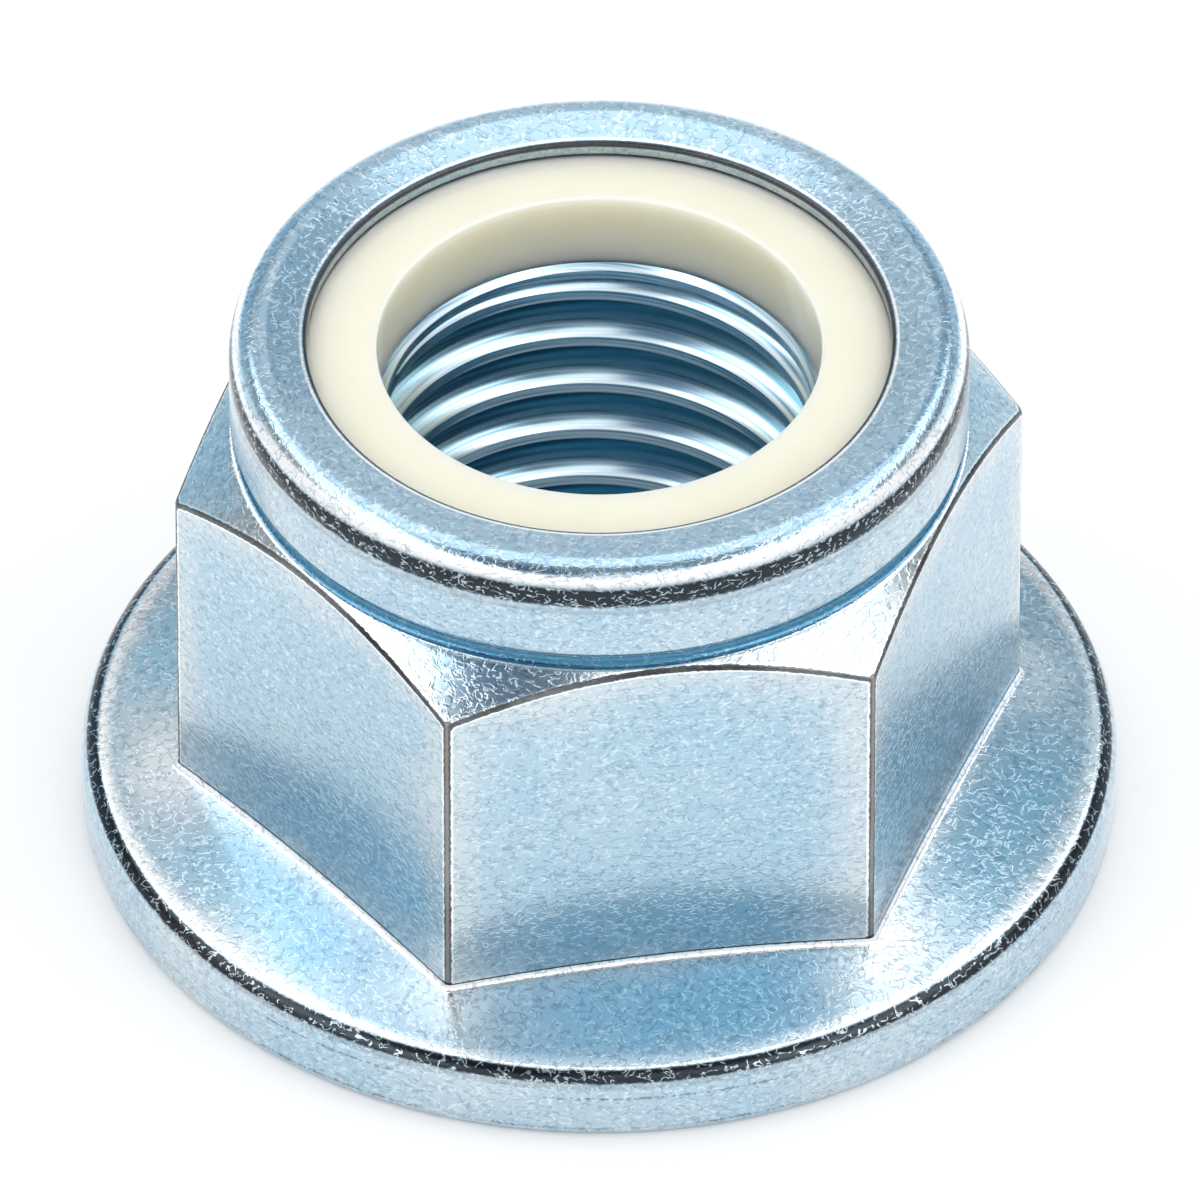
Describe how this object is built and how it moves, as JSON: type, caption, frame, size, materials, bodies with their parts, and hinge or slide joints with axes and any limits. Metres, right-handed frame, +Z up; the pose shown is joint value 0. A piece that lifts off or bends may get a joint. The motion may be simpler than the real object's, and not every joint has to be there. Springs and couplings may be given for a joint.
{
  "type": "flanged nylon insert lock nut",
  "caption": "Flanged hexagon lock nut with a nylon ring under a rolled collar, which grips the bolt's thread and stops it working loose.",
  "frame": {"origin": "middle of the flange's flat bearing face, on the thread axis", "axes": "+Z up the thread axis, from the bearing face to the nylon end; two corners of the hexagon lie on the X axis"},
  "size_m": [0.0336, 0.0336, 0.0197],
  "materials": {
    "zinc_steel": "blue-passivated zinc plate, fine orange peel, satin to bright",
    "nylon": "natural ivory nylon, smooth and matte"
  },
  "bodies": {
    "root": {"nut_body": "zinc_steel", "nylon_insert": "nylon"}
  },
  "joints": []
}
